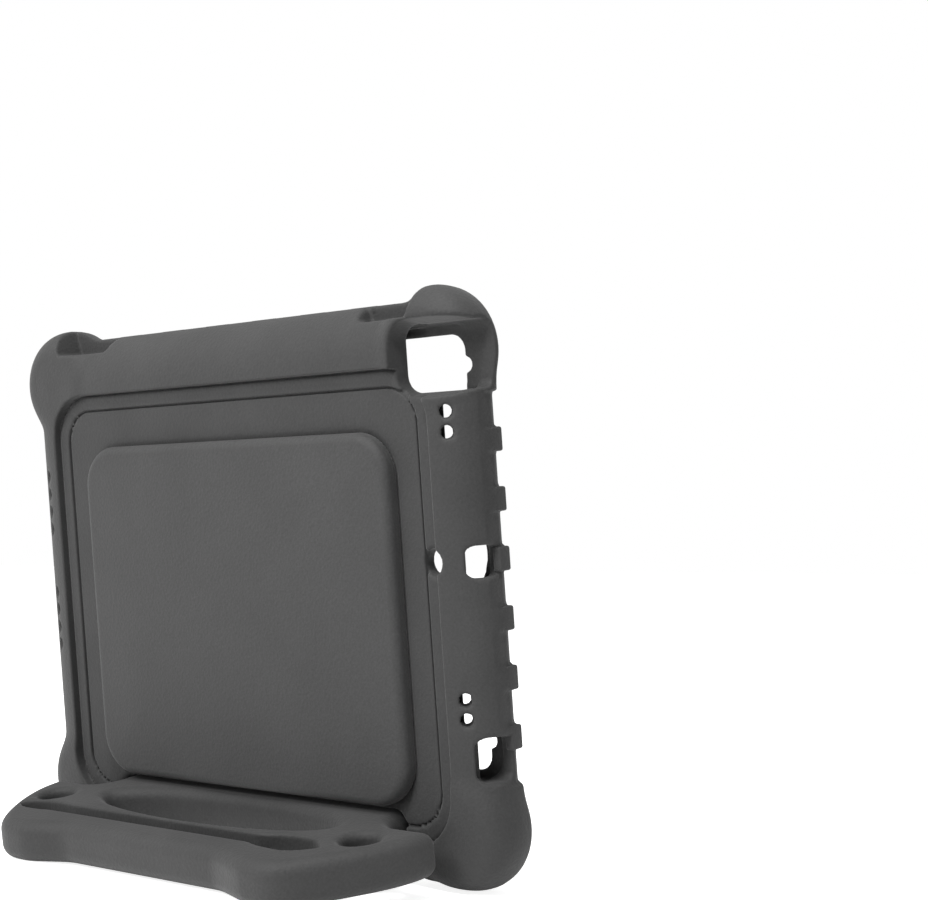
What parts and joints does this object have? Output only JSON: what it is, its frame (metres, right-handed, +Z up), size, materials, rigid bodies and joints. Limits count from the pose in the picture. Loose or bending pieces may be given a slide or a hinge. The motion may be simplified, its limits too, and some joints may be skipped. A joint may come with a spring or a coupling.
{
  "type": "tablet case",
  "caption": "Moulded foam tablet case with ears, a raised back pad and a hinged carrying handle that folds back as a stand and holds a stylus.",
  "frame": {"origin": "on the floor under the middle of the part's box, as it stands on its ears and its folded-back handle", "axes": "+X across the case, its longest side; -Y the screen's side, leaning back 7 degrees; +Y where the handle points; +Z up"},
  "size_m": [0.2708, 0.091, 0.2311],
  "materials": {
    "foam_shell": "matt closed-cell foam, dark grey",
    "foam_pad": "matt closed-cell foam, dark grey",
    "foam_handle": "matt closed-cell foam, dark grey",
    "sleeve_plastic": "moulded, black",
    "pin_plastic": "moulded, dark grey"
  },
  "bodies": {
    "case": {"body_shell": "foam_shell", "back_pad": "foam_pad", "ear_sleeve_left": "sleeve_plastic", "ear_sleeve_right": "sleeve_plastic"},
    "handle": {"handle": "foam_handle", "tab_sleeve_left": "sleeve_plastic", "tab_sleeve_right": "sleeve_plastic", "hinge_pin_left": "pin_plastic", "hinge_pin_right": "pin_plastic"}
  },
  "joints": [
    {"name": "handle_hinge", "type": "hinge", "parent": "case", "child": "handle", "pos_m": [0, -0.03281, 0.0204], "axis": [1, 0, 0], "range_deg": [-87.8, 3]}
  ]
}
